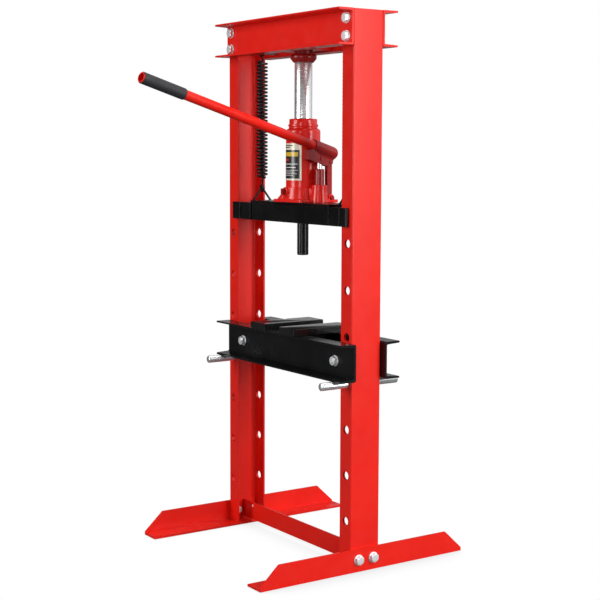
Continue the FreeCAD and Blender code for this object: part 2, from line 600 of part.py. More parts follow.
def jack_base():
    """The cast base: a square foot, a ribbed collar, the pump boss, two link ears and the valve boss."""
    foot_plate = block("2 * base_half", "2 * base_half", "base_thick", "0", "0", "0")
    rounded = doc.addObject("Part::Fillet", "FootPlate")
    rounded.Base = foot_plate
    doc.recompute()
    uprights = [i + 1 for i, edge in enumerate(foot_plate.Shape.Edges)
                if abs(edge.Length - val("base_thick")) < 0.01]
    rounded.Edges = [(i, val("base_corner"), val("base_corner")) for i in uprights]
    collar = cone("base_skirt", "base_collar", "base_rim - base_thick", "0", "0", "base_thick")
    ribs = []
    for turn in range(0, 360, 45):
        reach = "(base_half - 3)" if turn % 90 == 0 else "(base_half * 1.25)"
        rib = bind(doc.addObject("Part::Wedge", "Rib"), Xmax=reach, X2max="base_collar - 2",
                   Ymax="base_rim - 6", Zmin="-rib_thick / 2", Zmax="rib_thick / 2",
                   Z2min="-rib_thick / 3", Z2max="rib_thick / 3")
        rib.Xmin = rib.X2min = rib.Ymin = 0
        ribs.append(put(rib, "0", "0", "2", Rotation(Z_AXIS, turn) * Rotation(X_AXIS, 90)))
    boss = rod("pump_boss", "pump_seat", "pump_reach", "0", "0")
    boss_skirt = cone("pump_boss + 3", "pump_boss", "pump_seat * 0.6", "pump_reach", "0", "0")
    saddle = block("pump_reach", "2 * pump_boss", "pump_seat - 8", "pump_reach / 2", "0", "0")
    wing = block("26", "base_half - 4", "base_thick", "pump_reach", "(base_half - 4) / 2", "0")
    ears = []
    for side in (-1, 1):
        x = f"pump_reach + {side} * (link_thick / 2 + 3.4)"
        ears.append(rod("link_eye", "6", f"{x} - 3", "ear_side", "ear_height", TO_RIGHT))
        ears.append(block("6", "2 * link_eye", "ear_height", x, "ear_side", "0"))
    valve = rod("valve_boss", "52", "valve_side", "0", "valve_height", TO_FRONT)
    bores = [rod("reservoir_radius + 0.05", "base_rim", "0", "0", "base_deck"),
             rod("plunger_radius + plunger_clear", "pump_seat", "pump_reach", "0", "14"),
             rod("link_pin + pin_play / 2", "40", "pump_reach - 20", "ear_side", "ear_height", TO_RIGHT),
             rod("valve_radius + 0.05", "20", "valve_side", "-valve_start + 0.5", "valve_height", TO_FRONT),
             rod("ball_radius + 0.1", "10", "pump_reach", "0", "10 - ball_radius"),
             rod("ball_radius + 0.1", "base_deck", "second_ball_out", "second_ball_side",
                 "10 - ball_radius - 0.1"),
             block("link_thick + 0.8", "2 * link_eye + 3", "40", "pump_reach", "ear_side",
                   "ear_height - link_eye - 0.6")]
    base = cut(fuse(rounded, collar, *ribs, boss, boss_skirt, saddle, wing, *ears, valve), *bores)
    jack_node(node("jack_base", base))


def jack_parts():
    jack_base()
    outer, inner = "reservoir_radius", "(reservoir_radius - reservoir_wall)"
    lip = "(cylinder_bore + cylinder_wall + 1)"
    reservoir = turned("jack_reservoir", [
        (inner, "base_deck"), (outer, "base_deck"), (outer, "reservoir_top"),
        (lip, "reservoir_top"), (lip, "reservoir_top - 3"), (f"{inner} - 2.5", "reservoir_top - 3"),
        (inner, "reservoir_top - shoulder_drop")])
    fillet_edges(reservoir, reservoir.Tip, "shoulder_radius",
                 lambda e: abs(e.CenterOfMass.z - val("reservoir_top")) < 0.01
                 and abs(e.BoundBox.XMax - val("reservoir_radius")) < 0.01)
    filler_hole = circles(reservoir, "XZ_Plane", [("0", "plug_height", "plug_radius + 0.05")])
    filler = pocket(reservoir, filler_hole, "60")
    filler.Midplane = False
    jack_node(reservoir)
    jack_node(turned("jack_cylinder", [
        ("cylinder_bore", "base_deck"), ("cylinder_bore + cylinder_wall", "base_deck"),
        ("cylinder_bore + cylinder_wall", "reservoir_top"), ("cylinder_bore", "reservoir_top")]))
    gland_bore = "(ram_radius + ram_clear)"
    gland_top = "(reservoir_top + gland_height)"
    jack_node(turned("jack_gland_nut", [
        (gland_bore, "reservoir_top"), ("gland_neck", "reservoir_top"),
        ("gland_neck", "reservoir_top + gland_neck_height"),
        ("gland_collar", "reservoir_top + gland_neck_height"),
        ("gland_collar", "reservoir_top + gland_step"), ("gland_radius", "reservoir_top + gland_step"),
        ("gland_radius", f"{gland_top} - 1.5"), ("gland_radius - 1.5", gland_top),
        (f"{gland_bore} + 2.5", gland_top), (f"{gland_bore} + 2.5", f"{gland_top} - 4"),
        (gland_bore, f"{gland_top} - 4")]))
    jack_node(turned("ram_wiper", [
        (gland_bore, f"{gland_top} - 4"), (f"{gland_bore} + 2.5", f"{gland_top} - 4"),
        (f"{gland_bore} + 2.5", gland_top), (gland_bore, f"{gland_top} + 1")]))
    pump = turned("pump_cylinder", [
        ("plunger_radius + plunger_clear", "pump_seat"), ("pump_radius", "pump_seat"),
        ("pump_radius", "pump_top - 2"), ("pump_radius - 2", "pump_top"),
        ("plunger_radius + plunger_clear", "pump_top")])
    put(pump, "press_axis + pump_reach * cos(jack_turn)", "pump_reach * sin(jack_turn)", JACK_SEAT, JACK_SPIN)
    label = turned("jack_label", [
        ("reservoir_radius + 0.02", "label_bottom"), ("reservoir_radius + label_thick", "label_bottom"),
        ("reservoir_radius + label_thick", "label_bottom + label_height"),
        ("reservoir_radius + 0.02", "label_bottom + label_height")], "label_sweep")
    put(label, "press_axis", "0", JACK_SEAT, Rotation(Z_AXIS, -174))
    inside = "reservoir_radius - reservoir_wall"
    stem = rod("plug_radius", "reservoir_wall + 1", "0", inside, "plug_height", TO_REAR)
    cap = rod("plug_radius + 2.5", "3", "0", "reservoir_radius + 0.1", "plug_height", TO_REAR)
    plug = fuse(stem, cap)
    slot = block("1.2", "2", "20", "0", "reservoir_radius + 3", "plug_height - 10")
    jack_node(node("filler_plug", cut(plug, slot)))
    balls = []
    for x, y in (("pump_reach", "0"), ("second_ball_out", "second_ball_side")):
        balls.append(put(bind(doc.addObject("Part::Sphere", "Ball"), Radius="ball_radius"), x, y, "10"))
    jack_node(group("check_balls", balls))


def jack_ram_parts():
    """The ram stands against the seat under the crown; the jack's body climbs and falls around it."""
    piston_top = "(ram_bottom)"
    piston_low = "(ram_bottom - piston_thick)"
    groove = "(piston_radius - 2)"
    body = turned("jack_ram", [
        ("0", piston_low), ("piston_radius", piston_low), ("piston_radius", f"{piston_low} + 2"),
        (groove, f"{piston_low} + 2"), (groove, f"{piston_low} + 6"), ("piston_radius", f"{piston_low} + 6"),
        ("piston_radius", piston_top), ("ram_radius", piston_top), ("ram_radius", "ram_top - 1"),
        ("ram_radius - 1", "ram_top"), ("0", "ram_top")])
    put(body, "press_axis")
    seal = turned("piston_seal", [
        (groove, f"{piston_low} + 2"), ("cylinder_bore - 0.07", f"{piston_low} + 2"),
        ("cylinder_bore - 0.07", f"{piston_low} + 6"), (groove, f"{piston_low} + 6")])
    put(seal, "press_axis")
    bore = "(ram_radius + 0.3)"
    seat = turned("ram_seat", [
        (bore, "seat_bottom"), ("seat_rim", "seat_bottom"), ("seat_disc", "seat_bottom + 9"),
        ("seat_disc", "seat_bottom + 17"), ("seat_disc - 2", "seat_bottom + 19"),
        ("seat_neck", "seat_bottom + 19"), ("seat_neck", BOLSTER_Z), ("0", BOLSTER_Z),
        ("0", "ram_top"), (bore, "ram_top")])
    put(seat, "press_axis")


def release_valve():
    """The release screw points to the front and ends in a flat wing that the handle's end slips over."""
    shaft = rod("valve_radius", "valve_tip - valve_start - 6", "valve_side", "-valve_start", "valve_height",
                TO_FRONT)
    wing = block("3.6", "9", "15", "valve_side", "-valve_tip + 4.5", "valve_height - 7.5")
    jack_node(node("release_valve", fuse(shaft, wing)))


# ---- pump linkage and handle ----------------------------------------------------------------


def beside_jack(obj, side, up, tilt):
    """Set a piece in the pump's upright plane, at a distance behind the pump's axis and a height."""
    x = f"press_axis + pump_reach * cos(jack_turn) - ({side}) * sin(jack_turn)"
    y = f"pump_reach * sin(jack_turn) + ({side}) * cos(jack_turn)"
    return put(obj, x, y, f"{JACK_SEAT} + {up}", JACK_SPIN * Rotation(X_AXIS, tilt))


def linkage_parts():
    back, rise = f"(ear_side - {LINK_PIN_SIDE})", f"({LINK_PIN_UP} - ear_height)"
    length = f"sqrt({back}^2 + {rise}^2)"
    lean = math.degrees(math.atan2(val(back), val(rise)))
    link = new_body("pump_link")
    half = "link_width / 2"
    pad(link, polygon(link, "YZ_Plane", [(f"-{half}", "0"), (half, "0"), (half, length),
                                         (f"-{half}", length)]), "link_thick")
    pad(link, circles(link, "YZ_Plane", [("0", "0", "link_eye"), ("0", length, "link_eye")]), "link_thick")
    hole = "link_pin + pin_play / 2"
    pocket(link, circles(link, "YZ_Plane", [("0", "0", hole), ("0", length, hole)]))
    beside_jack(link, "ear_side", "ear_height", lean)

    pin_reach = "link_thick / 2 + 8.5"
    base_pin = fuse(rod("link_pin", f"2 * ({pin_reach})", f"-({pin_reach})", "0", "0", TO_RIGHT),
                    rod("link_pin + 1.2", "2", pin_reach, "0", "0", TO_RIGHT))
    beside_jack(node("link_base_pin", base_pin), "ear_side", "ear_height", 0)

    # plunger, with a round eye that leaves the pin room to wander as the handle swings
    low = "(pump_seat + 10)"
    seal_low, seal_high = f"({low} + 2)", f"({low} + 5)"
    groove = "(plunger_radius - 1.4)"
    plunger = turned("pump_plunger", [
        ("0", low), ("plunger_radius", low), ("plunger_radius", seal_low), (groove, seal_low),
        (groove, seal_high), ("plunger_radius", seal_high), ("plunger_radius", PUMP_PIN_UP),
        ("0", PUMP_PIN_UP)])
    pad(plunger, circles(plunger, "YZ_Plane", [("eye_back", PUMP_PIN_UP, "eye_radius")]), "eye_thick")
    pocket(plunger, circles(plunger, "YZ_Plane", [("eye_back", PUMP_PIN_UP, "eye_hole")]))
    beside_jack(plunger, "0", "0", 0)
    seal = turned("plunger_seal", [
        (groove, seal_low), ("plunger_radius + 0.02", seal_low), ("plunger_radius + 0.02", seal_high),
        (groove, seal_high)])
    beside_jack(seal, "0", "0", 0)


def handle_parts():
    tilt = -val("handle_tilt")
    inner = "(handle_radius + socket_play)"
    outer = "(handle_radius + socket_play + socket_wall)"
    socket = new_body("handle_socket")
    lip_top, lip_low = ("-socket_mouth - 18", "-16"), ("5 - cheek_drop", "-cheek_drop")
    cheek = [("-socket_mouth", "0"), ("socket_tail", "0"), ("socket_tail", "-5"),
             ("socket_tail - 13", "2 - cheek_drop"), ("21", "-cheek_drop"), lip_low, lip_top,
             ("-socket_mouth - 2", "-9")]
    pad(socket, polygon(socket, "YZ_Plane", cheek), "2 * cheek_outer")
    tube = circles(socket, "XZ_Plane", [("0", "0", outer)])
    barrel = pad(socket, tube, "socket_mouth", middle=False)
    barrel.Type2 = "Length"
    barrel.SideType = "Two sides"
    bind(barrel, Length2="socket_tail")
    gap = [("-60", "-5"), ("60", "-5"), ("60", "-cheek_drop - 3"), ("-60", "-cheek_drop - 3")]
    pocket(socket, polygon(socket, "YZ_Plane", gap), "2 * cheek_inner")
    lip = [lip_top, lip_low, ("8 - cheek_drop", "1 - cheek_drop"), ("-socket_mouth - 15.4", "-14.6")]
    pad(socket, polygon(socket, "YZ_Plane", lip), "2 * cheek_outer")
    pocket(socket, circles(socket, "XZ_Plane", [("0", "0", inner)]))
    tail_corner = [("socket_tail - 9", "15"), ("socket_tail - 3", "9"), ("socket_tail", "-2"),
                   ("socket_tail + 1", "-2"), ("socket_tail + 1", "15")]
    pocket(socket, polygon(socket, "YZ_Plane", tail_corner))
    pin_hole = "link_pin + pin_play / 2"
    pocket(socket, circles(socket, "YZ_Plane", [("plunger_pin_back", "-pin_drop", pin_hole),
                                                ("link_pin_back", "-pin_drop", pin_hole)]))
    beside_jack(socket, "0", "handle_rise", tilt)

    reach = "(cheek_outer + 0.4)"
    for label, back in (("plunger_pin", "plunger_pin_back"), ("link_top_pin", "link_pin_back")):
        pin = fuse(rod("link_pin", f"2 * {reach}", f"-{reach}", back, "-pin_drop", TO_RIGHT),
                   rod("link_pin + 1.2", "1.6", reach, back, "-pin_drop", TO_RIGHT),
                   rod("link_pin + 1.2", "1.6", f"-{reach} - 1.6", back, "-pin_drop", TO_RIGHT))
        beside_jack(node(label, pin), "0", "handle_rise", tilt)

    length = "(handle_start + handle_end)"
    tube = cut(rod("handle_radius", length, "0", "handle_start", "0", TO_FRONT),
               rod("handle_radius - handle_wall", f"{length} + 2", "0", "handle_start + 1", "0", TO_FRONT))
    beside_jack(node("handle_tube", tube), "0", "handle_rise", tilt)
    grip_length = "handle_end - grip_start - 2"
    grip = cut(rod("handle_radius + grip_wall", grip_length, "0", "-grip_start", "0", TO_FRONT),
               rod("handle_radius", f"{grip_length} + 2", "0", "-grip_start + 1", "0", TO_FRONT))
    beside_jack(node("handle_grip", grip), "0", "handle_rise", tilt)


# ---- build, check and write -----------------------------------------------------------------


def check_and_export():
    doc.recompute()
    for obj in doc.Objects:
        if "Invalid" in obj.State or "Error" in obj.State:
            raise RuntimeError(f"{obj.Label} failed: {obj.State}")
    os.makedirs("parts", exist_ok=True)
    for label, obj in NODES.items():
        shape = obj.Shape
        if shape.isNull() or not shape.isValid() or not shape.Solids:
            raise RuntimeError(f"{label} has no valid solid")
        shape.exportStep(os.path.join("parts", label + ".step"))
    whole = FreeCAD.BoundBox()
    for obj in NODES.values():
        whole.add(obj.Shape.BoundBox)
    print(len(NODES), "sub-parts; box", [round(v, 1) for v in (whole.XMin, whole.YMin, whole.ZMin,
                                                                whole.XMax, whole.YMax, whole.ZMax)])


frame_parts()
bed_parts()
bed_pin("left_bed_pin", -1, "left_pin_shift")
bed_pin("right_bed_pin", 1, "right_pin_shift")
arbor_plate("left_arbor_plate", "left_plate_mid", -1, "left_notch")
arbor_plate("right_arbor_plate", "right_plate_mid", 1, "right_notch")
carriage_parts()
spring("left_spring", -1)
spring("right_spring", 1)
jack_parts()
jack_ram_parts()
release_valve()
linkage_parts()
handle_parts()
check_and_export()
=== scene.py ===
import json
import math

import bmesh
import bpy
from mathutils import Matrix, Vector


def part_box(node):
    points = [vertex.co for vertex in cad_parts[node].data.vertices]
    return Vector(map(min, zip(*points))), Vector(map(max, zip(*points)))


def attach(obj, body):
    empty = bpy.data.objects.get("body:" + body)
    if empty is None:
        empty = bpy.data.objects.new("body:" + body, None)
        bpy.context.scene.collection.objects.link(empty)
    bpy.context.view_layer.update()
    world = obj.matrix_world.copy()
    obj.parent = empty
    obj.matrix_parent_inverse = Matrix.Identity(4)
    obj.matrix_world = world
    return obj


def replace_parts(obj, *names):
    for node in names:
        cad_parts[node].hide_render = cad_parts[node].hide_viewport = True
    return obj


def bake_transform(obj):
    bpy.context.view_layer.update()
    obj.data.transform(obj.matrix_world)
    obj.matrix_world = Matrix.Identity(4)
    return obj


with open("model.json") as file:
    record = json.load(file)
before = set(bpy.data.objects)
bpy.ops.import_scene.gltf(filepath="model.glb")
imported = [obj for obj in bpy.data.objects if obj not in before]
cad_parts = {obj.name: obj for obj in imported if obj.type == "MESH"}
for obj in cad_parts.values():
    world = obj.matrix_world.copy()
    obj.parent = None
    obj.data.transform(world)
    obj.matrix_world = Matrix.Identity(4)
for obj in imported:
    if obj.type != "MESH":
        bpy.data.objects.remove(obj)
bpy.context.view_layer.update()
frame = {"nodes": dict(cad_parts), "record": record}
scene = bpy.context.scene
nodes = frame["nodes"]


# ---- materials ------------------------------------------------------------------------------


class Look:
    """A procedural material under construction: a principled shader and the nodes that feed it."""

    def __init__(self, name, metallic=0.0, roughness=0.4, coat=0.0, coat_roughness=0.05, specular=0.5):
        self.material = bpy.data.materials.new(name)
        self.material.use_nodes = True
        self.tree = self.material.node_tree
        self.shader = self.tree.nodes["Principled BSDF"]
        self.place = self.add("ShaderNodeTexCoord").outputs["Object"]
        self.height = None
        for socket, value in (("Metallic", metallic), ("Roughness", roughness), ("Coat Weight", coat),
                              ("Coat Roughness", coat_roughness), ("Specular IOR Level", specular)):
            self.shader.inputs[socket].default_value = value

    def add(self, kind, **values):
        made = self.tree.nodes.new(kind)
        for name, value in values.items():
            setattr(made, name, value)
        return made

    def link(self, start, end):
        self.tree.links.new(start, end)

    def stretched(self, scale):
        """Object coordinates scaled per axis."""
        mapping = self.add("ShaderNodeMapping")
        mapping.inputs["Scale"].default_value = scale
        self.link(self.place, mapping.inputs["Vector"])
        return mapping.outputs["Vector"]

    def noise(self, scale, detail=2.0, roughness=0.5, vector=None):
        node = self.add("ShaderNodeTexNoise")
        node.inputs["Scale"].default_value = scale
        node.inputs["Detail"].default_value = detail
        node.inputs["Roughness"].default_value = roughness
        self.link(vector or self.place, node.inputs["Vector"])
        return node.outputs["Fac"]

    def spread(self, value, low, high, out_low=0.0, out_high=1.0):
        """Map a value's range onto another, clamped."""
        node = self.add("ShaderNodeMapRange")
        limits = {"From Min": low, "From Max": high, "To Min": out_low, "To Max": out_high}
        for name, number in limits.items():
            node.inputs[name].default_value = number
        self.link(value, node.inputs["Value"])
        return node.outputs["Result"]

    def mix(self, amount, first, second):
        """Mix two colours, each a colour or another node's output, by an amount between 0 and 1."""
        node = self.add("ShaderNodeMix", data_type="RGBA")
        self.link(amount, node.inputs["Factor"])
        for socket, colour in ((node.inputs[6], first), (node.inputs[7], second)):
            if isinstance(colour, tuple):
                socket.default_value = (*colour, 1.0)
            else:
                self.link(colour, socket)
        return node.outputs[2]

    def colour(self, value):
        self.link(value, self.shader.inputs["Base Color"])

    def roughness(self, value):
        self.link(value, self.shader.inputs["Roughness"])

    def bump(self, value, strength, distance):
        node = self.add("ShaderNodeBump")
        node.inputs["Strength"].default_value = strength
        node.inputs["Distance"].default_value = distance
        self.link(value, node.inputs["Height"])
        if self.height is not None:
            self.link(self.height, node.inputs["Normal"])
        self.height = node.outputs["Normal"]
        self.link(self.height, self.shader.inputs["Normal"])


def enamel(name, colour, deep, roughness=0.3, coat=0.6, peel=0.15, specular=0.5):
    """Sprayed gloss enamel: faint cloudiness in the colour and an orange-peel skin."""
    look = Look(name, coat=coat, coat_roughness=0.12, specular=specular)
    cloud = look.spread(look.noise(9, 3), 0.35, 0.65)
    look.colour(look.mix(cloud, colour, deep))
    look.roughness(look.spread(look.noise(35, 4), 0.3, 0.7, roughness * 0.85, roughness * 1.25))
    look.bump(look.noise(160, 1), peel, 0.0004)
    return look.material


def metal(name, colour, deep, roughness=0.25, grain=(60, 60, 900), bump=0.1, metallic=1.0):
    """Bare or plated metal with fine tool marks along one direction."""
    look = Look(name, metallic=metallic)
    marks = look.noise(1.0, 3, 0.6, look.stretched(grain))
    look.colour(look.mix(look.spread(marks, 0.3, 0.7), colour, deep))
    look.roughness(look.spread(marks, 0.3, 0.7, roughness * 0.7, roughness * 1.3))
    look.bump(marks, bump, 0.0001)
    return look.material


def rubber(name, colour, deep, scale=900, bump=0.5):
    """Matt rubber with a fine grain."""
    look = Look(name, roughness=0.6, specular=0.4)
    grain = look.noise(scale, 2)
    look.colour(look.mix(look.spread(grain, 0.35, 0.65), colour, deep))
    look.roughness(look.spread(look.noise(40, 3), 0.3, 0.7, 0.5, 0.7))
    look.bump(grain, bump, 0.0003)
    return look.material


LOOKS = {
    "frame_red": enamel("frame_red", (0.80, 0.014, 0.006), (0.75, 0.011, 0.005), 0.34, 0.1, 0.04, 0.3),
    "dark_red": enamel("dark_red", (0.36, 0.010, 0.009), (0.28, 0.006, 0.006), 0.3, 0.2, 0.2, 0.4),
    "jack_red": enamel("jack_red", (0.82, 0.014, 0.008), (0.72, 0.010, 0.006), 0.24, 0.25, 0.08, 0.4),
    "black_paint": enamel("black_paint", (0.004, 0.004, 0.0045), (0.008, 0.008, 0.0085),
                          0.24, 0.12, 0.12, 0.25),
    "plate_black": enamel("plate_black", (0.004, 0.004, 0.0045), (0.009, 0.009, 0.0095),
                          0.22, 0.4, 0.12, 0.4),
    "zinc_bolt": metal("zinc_bolt", (0.93, 0.94, 0.96), (0.80, 0.81, 0.83),
                       0.42, (300, 300, 300), metallic=0.6),
    "bright_steel": metal("bright_steel", (0.90, 0.91, 0.93), (0.84, 0.85, 0.87),
                          0.3, (40, 40, 900), 0.02, 0.85),
    "spring_steel": metal("spring_steel", (0.05, 0.05, 0.055), (0.03, 0.03, 0.032), 0.35, (200, 200, 200)),
    "plain_steel": metal("plain_steel", (0.45, 0.45, 0.47), (0.35, 0.35, 0.37), 0.35, (200, 200, 200)),
    "grip_rubber": rubber("grip_rubber", (0.030, 0.031, 0.034), (0.018, 0.018, 0.020)),
    "seal_rubber": rubber("seal_rubber", (0.02, 0.02, 0.02), (0.012, 0.012, 0.012), 500, 0.2),
    "label_film": enamel("label_film", (0.85, 0.80, 0.62), (0.83, 0.78, 0.60), 0.25, 0.5, 0.05),
}


def smooth(obj, degrees=32):
    """Shade the surface smooth except across edges sharper than an angle."""
    for polygon in obj.data.polygons:
        polygon.use_smooth = True
    obj.data.set_sharp_from_angle(angle=math.radians(degrees))


slot_of = {part["node"]: part["material_slot"] for part in frame["record"]["subparts"]}
body_of = {node: body for body, held in frame["record"]["behaviour"]["bodies"].items() for node in held}
for name, obj in nodes.items():
    obj.data.materials.clear()
    obj.data.materials.append(LOOKS[slot_of[name]])


# ---- shared makers --------------------------------------------------------------------------


def new_object(name, mesh, node, look=None, angle=32):
    """A new object from a bmesh, with a CAD node's slot and that slot's finish or one that is given."""
    data = bpy.data.meshes.new(name)
    bmesh.ops.recalc_face_normals(mesh, faces=mesh.faces)
    mesh.to_mesh(data)
    mesh.free()
    obj = bpy.data.objects.new(name, data)
    scene.collection.objects.link(obj)
    data.materials.append(look or LOOKS[slot_of[node]])
    smooth(obj, angle)
    return obj


def piece(name, mesh, node, look=None, angle=32):
    """A new object that rides on a CAD node's body."""
    obj = new_object(name, mesh, node, look, angle)
    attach(obj, body_of[node])
    return obj


def joined(node):
    """A node's mesh in the shared frame, with its shared corners joined."""
    mesh = bmesh.new()
    mesh.from_mesh(nodes[node].data)
    mesh.transform(nodes[node].matrix_world)
    bmesh.ops.remove_doubles(mesh, verts=mesh.verts, dist=2e-6)
    return mesh


def welded(node):
    """A node's mesh with its flat faces merged as well."""
    mesh = joined(node)
    bmesh.ops.dissolve_limit(mesh, angle_limit=math.radians(0.4), verts=mesh.verts, edges=mesh.edges)
    return mesh


def refined(node, bevel, angle=32):
    """The same shape as a CAD node, smooth shaded, with its sharp edges broken."""
    obj = piece(node + "_finished", welded(node), node, angle=angle)
    if bevel:
        edges = obj.modifiers.new("broken_edges", "BEVEL")
        edges.width = bevel
        edges.segments = 2
        edges.limit_method = "ANGLE"
        edges.angle_limit = math.radians(50)
        edges.use_clamp_overlap = True
        edges.harden_normals = True
    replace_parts(obj, node)


def islands(node):
    """The loose pieces of a node: each piece's corner points."""
    mesh = joined(node)
    left, found = set(mesh.verts), []
    for start in mesh.verts:
        if start not in left:
            continue
        left.remove(start)
        stack, points = [start], []
        while stack:
            vert = stack.pop()
            points.append(vert.co.copy())
            for edge in vert.link_edges:
                other = edge.other_vert(vert)
                if other in left:
                    left.remove(other)
                    stack.append(other)
        found.append(points)
    mesh.free()
    return found


def lathe(mesh, rings, spot=Matrix.Identity(4), steps=64, closed=False):
    """Turn a list of (radius, height) rings about Z; both may be functions of the angle."""
    loops = []
    for radius, height in rings:
        loop = []
        for i in range(steps):
            turn = 2 * math.pi * i / steps
            r = radius(turn) if callable(radius) else radius
            h = height(turn) if callable(height) else height
            loop.append(mesh.verts.new(spot @ Vector((r * math.cos(turn), r * math.sin(turn), h))))
        loops.append(loop)
    pairs = list(zip(loops, loops[1:]))
    if closed:
        pairs.append((loops[-1], loops[0]))
    for low, high in pairs:
        for i in range(steps):
            j = (i + 1) % steps
            mesh.faces.new((low[i], low[j], high[j], high[i]))
    if not closed:
        mesh.faces.new(loops[0])
        mesh.faces.new(loops[-1])


def sweep(mesh, path, radius, steps):
    """A round wire along a list of points, closed at both ends."""
    loops = []
    normal = None
    count = len(path)
    turns = [2 * math.pi * k / steps for k in range(steps)]
    for i, point in enumerate(path):
        ahead = (path[min(i + 1, count - 1)] - path[max(i - 1, 0)]).normalized()
        if normal is None:
            normal = ahead.orthogonal().normalized()
        normal = (normal - ahead * normal.dot(ahead)).normalized()
        side = ahead.cross(normal)
        loops.append([mesh.verts.new(point + (normal * math.cos(t) + side * math.sin(t)) * radius)
                      for t in turns])
    for low, high in zip(loops, loops[1:]):
        for i in range(steps):
            j = (i + 1) % steps
            mesh.faces.new((low[i], low[j], high[j], high[i]))
    mesh.faces.new(loops[0])
    mesh.faces.new(loops[-1])


# ---- fasteners ------------------------------------------------------------------------------

# metres, except the two shares of the width across the flats
BOLT_RADIUS = 0.006
ACROSS = 0.019
HEAD = 0.0068
PITCH = 0.00175
THREAD_LENGTH = 0.014
THREAD_DEPTH = 0.0009
END_CHAMFER = 0.0008
CENTRE = 0.0004
NUT_MOUTH = 0.0008
WASHER_EDGE = 0.0005
FLAT_SHARE = 0.485
CROWN_SHARE = 0.30


def extent(points):
    """The box round a loose fastener: its low and high corners, its middle and its size."""
    low = Vector([min(p[i] for p in points) for i in range(3)])
    high = Vector([max(p[i] for p in points) for i in range(3)])
    return low, high, (low + high) / 2, high - low


def facing(axis, sign, origin):
    """A matrix that sets local Z along a world axis, with its origin at a point."""
    direction = Vector([sign if i == axis else 0 for i in range(3)])
    return Matrix.Translation(origin) @ direction.to_track_quat("Z", "Y").to_matrix().to_4x4()


def hexagon(turn):
    """The radius of the hexagon at an angle."""
    return ACROSS / 2 / math.cos((turn + math.pi / 6) % (math.pi / 3) - math.pi / 6)


def chamfered(height, sign):
    """The height of a hexagon's rim where a cone has taken its corners off."""
    def rim(turn):
        return height - sign * (hexagon(turn) - ACROSS * FLAT_SHARE) * 0.55
    return rim


def threaded(mesh, spot, start, end):
    """A screw thread from one height to another, closed by a chamfered end."""
    rows = max(2, int((end - start) / PITCH * 8))
    rings = []
    for row in range(rows + 1):
        h = start + (end - start) * row / rows
        fade = min(1, (end - h) / PITCH + 0.15)

        def groove(turn, h=h, fade=fade):
            phase = (h / PITCH - turn / (2 * math.pi)) % 1
            return BOLT_RADIUS - THREAD_DEPTH * abs(2 * phase - 1) - END_CHAMFER * (1 - fade)
        rings.append((groove, h))
    lathe(mesh, rings, spot, 28)


def hand_over(mesh, node):
    """Put a finished mesh in the place of its CAD node."""
    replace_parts(piece(node + "_finished", mesh, node, angle=25), node)


def bolts(node):
    """Hexagon bolts with a chamfered head, a plain shank and a threaded end."""
    mesh = bmesh.new()
    for points in islands(node):
        low, high, middle, size = extent(points)
        axis = max(range(3), key=lambda i: size[i])
        others = [i for i in range(3) if i != axis]
        wide = max(points, key=lambda p: math.hypot(*(p[i] - middle[i] for i in others)))
        sign = 1 if wide[axis] > middle[axis] else -1
        origin = middle.copy()
        origin[axis] = (high if sign > 0 else low)[axis] - sign * HEAD
        spot = facing(axis, sign, origin)
        head = [(CENTRE, 0), (hexagon, 0), (hexagon, chamfered(HEAD, 1)),
                (ACROSS * FLAT_SHARE, HEAD - 0.0001), (ACROSS * CROWN_SHARE, HEAD), (CENTRE, HEAD)]
        lathe(mesh, head, spot, 72)
        reach = size[axis] - HEAD
        lathe(mesh, [(BOLT_RADIUS, THREAD_LENGTH - reach), (BOLT_RADIUS, 0.0005)], spot, 32)
        threaded(mesh, spot @ Matrix.Rotation(math.pi, 4, "X"), reach - THREAD_LENGTH - 0.0001, reach)
    hand_over(mesh, node)


def nuts(node):
    """Hexagon nuts chamfered on both faces, with a countersunk bore."""
    mesh = bmesh.new()
    for points in islands(node):
        _, _, middle, size = extent(points)
        axis = min(range(3), key=lambda i: size[i])
        half = size[axis] / 2
        bore, mouth = BOLT_RADIUS + 0.0001, BOLT_RADIUS + NUT_MOUTH
        flat = ACROSS * FLAT_SHARE
        lathe(mesh, [(bore, NUT_MOUTH - half), (mouth, -half), (flat, -half), (hexagon, chamfered(-half, -1)),
                     (hexagon, chamfered(half, 1)), (flat, half), (mouth, half), (bore, half - NUT_MOUTH)],
              facing(axis, 1, middle), 72, closed=True)
    hand_over(mesh, node)


def washers(node):
    """Plain washers with broken outer edges."""
    mesh = bmesh.new()
    for points in islands(node):
        _, _, middle, size = extent(points)
        axis = min(range(3), key=lambda i: size[i])
        half, outer, bore, edge = size[axis] / 2, max(size) / 2, BOLT_RADIUS + 0.0005, WASHER_EDGE
        lathe(mesh, [(bore, -half), (outer - edge, -half), (outer, -half + edge), (outer, half - edge),
                     (outer - edge, half), (bore, half)], facing(axis, 1, middle), 64, closed=True)
    hand_over(mesh, node)


# ---- springs --------------------------------------------------------------------------------

# metres: the wire's, hooks' and coil's radii, the coil's ends above the floor, and its turns
WIRE = 0.0026
LOOP = 0.0075
COIL = 0.0119
COIL_BOTTOM = 0.883
COIL_TOP = 1.171
COIL_TURNS = 33
TURN_STEPS = 24
NARROW_STEPS = 10


def hook(x, y, centre, sign):
    """A spring's hook from its open end round to its stem."""
    points = []
    for k in range(29):
        turn = math.radians(-60 + 330 * k / 28)
        points.append(Vector((x + LOOP * math.cos(turn), y, centre + sign * LOOP * math.sin(turn))))
    return points


